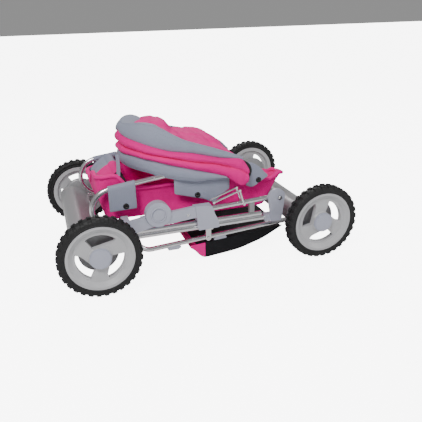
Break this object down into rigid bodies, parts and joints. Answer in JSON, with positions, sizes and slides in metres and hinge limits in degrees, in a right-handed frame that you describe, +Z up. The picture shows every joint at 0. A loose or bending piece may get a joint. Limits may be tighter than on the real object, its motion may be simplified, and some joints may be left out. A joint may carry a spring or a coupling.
{
  "type": "folding toy pram",
  "caption": "Folded toy pram: wheeled scissor frame in bright tube, pink and grey fabric carrycot, collapsed hood, mesh basket, sliding push handle.",
  "frame": {"origin": "on the floor under the middle of the box, with the frame folded and standing on its wheels", "axes": "+X towards the head end where the hood hinges, +Y towards the far side, +Z up"},
  "size_m": [0.642, 0.4384, 0.308],
  "materials": {
    "tyre_rubber": "matt black tread rubber",
    "rim_plastic": "satin light grey moulding",
    "lilac_grey_plastic": "satin lilac-grey moulding",
    "beam_plastic": "satin mid grey moulding",
    "polished_tube": "polished bright tube",
    "black_plastic": "matt black moulding",
    "black_foam": "closed-cell foam sleeve",
    "pink_fabric": "woven polyester, hot pink",
    "grey_fabric": "woven polyester, light grey",
    "black_mesh": "open black mesh"
  },
  "bodies": {
    "front_axle_rod": {"front_axle": "polished_tube"},
    "front_leg": {"front_beam": "beam_plastic", "front_leg_tube_near": "polished_tube", "front_leg_tube_far": "polished_tube", "leg_bracket_near": "lilac_grey_plastic", "leg_bracket_far": "lilac_grey_plastic", "scissor_plate_near": "polished_tube", "scissor_plate_far": "polished_tube", "scissor_pins": "polished_tube", "seat_rivets": "polished_tube"},
    "rear_leg": {"rear_axle": "polished_tube", "rear_beam": "beam_plastic", "rear_leg_tube_near": "polished_tube", "rear_leg_tube_far": "polished_tube", "tube_clips": "lilac_grey_plastic", "tube_end_caps": "black_plastic", "basket": "black_mesh"},
    "seat_bar": {"hub_arm_near": "lilac_grey_plastic", "hub_arm_far": "lilac_grey_plastic", "hub_buttons": "lilac_grey_plastic", "clip_block_near": "lilac_grey_plastic", "clip_block_far": "lilac_grey_plastic", "seat_tube_near": "polished_tube", "seat_tube_far": "polished_tube", "seat_cross_bar": "polished_tube", "catch_posts": "beam_plastic"},
    "latch_near": {"latch_wire_near": "polished_tube"},
    "latch_far": {"latch_wire_far": "polished_tube"},
    "chair_frame": {"rail_near": "polished_tube", "rail_far": "polished_tube", "rail_arm_near": "lilac_grey_plastic", "rail_arm_far": "lilac_grey_plastic", "foot_cross_bar": "polished_tube", "guard_bar": "black_foam", "guard_clips": "black_plastic", "hood_hinge_discs": "black_plastic", "hood_pins": "polished_tube", "carrycot": "pink_fabric", "fabric_tabs": "grey_fabric"},
    "push_handle": {"push_handle_bar": "polished_tube", "push_handle_grip": "black_foam"},
    "hood_front": {"hood_hoop_front": "polished_tube", "hood_front_band": "grey_fabric"},
    "hood_middle": {"hood_hoop_middle": "polished_tube", "hood_pleats": "pink_fabric"},
    "hood_back": {"hood_hoop_back": "polished_tube", "hood_back_band": "grey_fabric", "hood_crown": "pink_fabric"},
    "front_near_wheel": {"front_near_tyre": "tyre_rubber", "front_near_rim": "rim_plastic", "front_near_cap": "lilac_grey_plastic"},
    "front_far_wheel": {"front_far_tyre": "tyre_rubber", "front_far_rim": "rim_plastic", "front_far_cap": "lilac_grey_plastic"},
    "rear_near_wheel": {"rear_near_tyre": "tyre_rubber", "rear_near_rim": "rim_plastic", "rear_near_cap": "lilac_grey_plastic"},
    "rear_far_wheel": {"rear_far_tyre": "tyre_rubber", "rear_far_rim": "rim_plastic", "rear_far_cap": "lilac_grey_plastic"}
  },
  "joints": [
    {"name": "unfold", "type": "hinge", "parent": "front_axle_rod", "child": "front_leg", "pos_m": [-0.2385, 0, 0.0825], "axis": [0, -1, 0], "range_deg": [0, 32]},
    {"name": "rear_leg_swing", "type": "hinge", "parent": "front_leg", "child": "rear_leg", "pos_m": [0, 0, 0.0547], "axis": [0, 1, 0], "range_deg": [0, 64]},
    {"name": "seat_level", "type": "hinge", "parent": "front_leg", "child": "seat_bar", "pos_m": [0.1585, 0, 0.133], "axis": [0, 1, 0], "range_deg": [0, 32]},
    {"name": "chair_tilt", "type": "hinge", "parent": "seat_bar", "child": "chair_frame", "pos_m": [-0.112, 0, 0.1355], "axis": [0, -1, 0], "range_deg": [0, 35]},
    {"name": "hood_open", "type": "hinge", "parent": "chair_frame", "child": "hood_back", "pos_m": [0.084, 0, 0.19], "axis": [0, 1, 0], "range_deg": [0, 96]},
    {"name": "hood_middle_fan", "type": "hinge", "parent": "hood_back", "child": "hood_middle", "pos_m": [0.084, 0, 0.19], "axis": [0, -1, 0], "range_deg": [0, 32]},
    {"name": "hood_front_fan", "type": "hinge", "parent": "hood_middle", "child": "hood_front", "pos_m": [0.084, 0, 0.19], "axis": [0, -1, 0], "range_deg": [0, 32]},
    {"name": "handle_slide", "type": "slide", "parent": "chair_frame", "child": "push_handle", "axis": [0.9925, 0, 0.1219], "range_m": [0, 0.15]},
    {"name": "latch_near_swing", "type": "hinge", "parent": "seat_bar", "child": "latch_near", "pos_m": [0.076, -0.15, 0.12884], "axis": [0, 1, 0], "range_deg": [0, 100]},
    {"name": "latch_far_swing", "type": "hinge", "parent": "seat_bar", "child": "latch_far", "pos_m": [0.076, 0.15, 0.12884], "axis": [0, 1, 0], "range_deg": [0, 100]},
    {"name": "front_near_wheel_spin", "type": "hinge", "parent": "front_axle_rod", "child": "front_near_wheel", "pos_m": [-0.2385, -0.205, 0.0825], "axis": [0, 1, 0], "continuous": true},
    {"name": "front_far_wheel_spin", "type": "hinge", "parent": "front_axle_rod", "child": "front_far_wheel", "pos_m": [-0.2385, 0.205, 0.0825], "axis": [0, 1, 0], "continuous": true},
    {"name": "rear_near_wheel_spin", "type": "hinge", "parent": "rear_leg", "child": "rear_near_wheel", "pos_m": [0.2385, -0.205, 0.0825], "axis": [0, 1, 0], "continuous": true},
    {"name": "rear_far_wheel_spin", "type": "hinge", "parent": "rear_leg", "child": "rear_far_wheel", "pos_m": [0.2385, 0.205, 0.0825], "axis": [0, 1, 0], "continuous": true}
  ],
  "couplings": [
    {"joint": "rear_leg_swing", "follows": "unfold", "ratio": 2},
    {"joint": "seat_level", "follows": "unfold", "ratio": 1},
    {"joint": "chair_tilt", "follows": "unfold", "ratio": 1.0938},
    {"joint": "hood_middle_fan", "follows": "hood_open", "ratio": 0.33333},
    {"joint": "hood_front_fan", "follows": "hood_open", "ratio": 0.33333}
  ]
}
